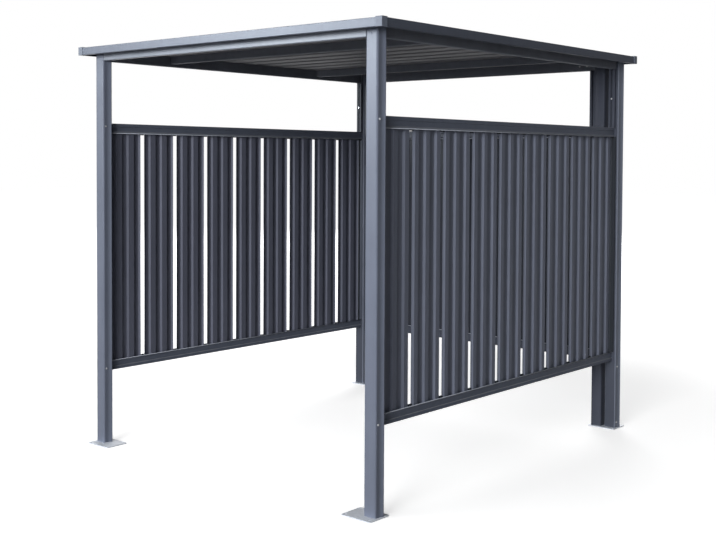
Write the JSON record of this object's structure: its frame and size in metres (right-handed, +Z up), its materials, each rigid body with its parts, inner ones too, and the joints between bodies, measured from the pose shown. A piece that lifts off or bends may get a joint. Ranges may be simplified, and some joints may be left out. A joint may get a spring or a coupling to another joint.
{
  "type": "open-fronted bike shelter",
  "caption": "Open-fronted bike shelter of folded sheet steel, with slatted side and rear walls, posts on bolt-down base plates and a flat ribbed roof edged by a fascia.",
  "frame": {"origin": "on the ground, under the middle of the whole shelter's box", "axes": "+X to the right along the open front, +Y to the rear wall, +Z up"},
  "size_m": [2.017, 2.2054, 2.037],
  "materials": {
    "painted_steel": "satin",
    "slat_steel": "satin",
    "roof_steel": "satin",
    "plate_steel": "satin",
    "cap_plastic": "satin",
    "screw_steel": "satin"
  },
  "bodies": {
    "root": {"front_left_base_plate": "plate_steel", "front_left_post": "painted_steel", "front_left_corner_cap": "cap_plastic", "front_right_base_plate": "plate_steel", "front_right_post": "painted_steel", "front_right_corner_cap": "cap_plastic", "rear_left_base_plate": "plate_steel", "rear_left_post": "painted_steel", "rear_left_corner_cap": "cap_plastic", "rear_right_base_plate": "plate_steel", "rear_right_post": "painted_steel", "rear_right_corner_cap": "cap_plastic", "rear_left_wall_post": "painted_steel", "rear_left_strut": "painted_steel", "rear_right_wall_post": "painted_steel", "rear_right_strut": "painted_steel", "left_strut": "painted_steel", "right_strut": "painted_steel", "front_beam": "painted_steel", "rear_beam": "painted_steel", "left_beam": "painted_steel", "right_beam": "painted_steel", "front_purlin": "painted_steel", "rear_purlin": "painted_steel", "left_top_rail": "painted_steel", "left_bottom_rail": "painted_steel", "left_wall_slats": "slat_steel", "right_top_rail": "painted_steel", "right_bottom_rail": "painted_steel", "right_wall_slats": "slat_steel", "rear_top_rail": "painted_steel", "rear_bottom_rail": "painted_steel", "rear_wall_slats": "slat_steel", "front_roof_sheet": "roof_steel", "middle_roof_sheet": "roof_steel", "rear_roof_sheet": "roof_steel", "front_fascia": "painted_steel", "rear_fascia": "painted_steel", "left_fascia": "painted_steel", "right_fascia": "painted_steel"}
  },
  "joints": []
}
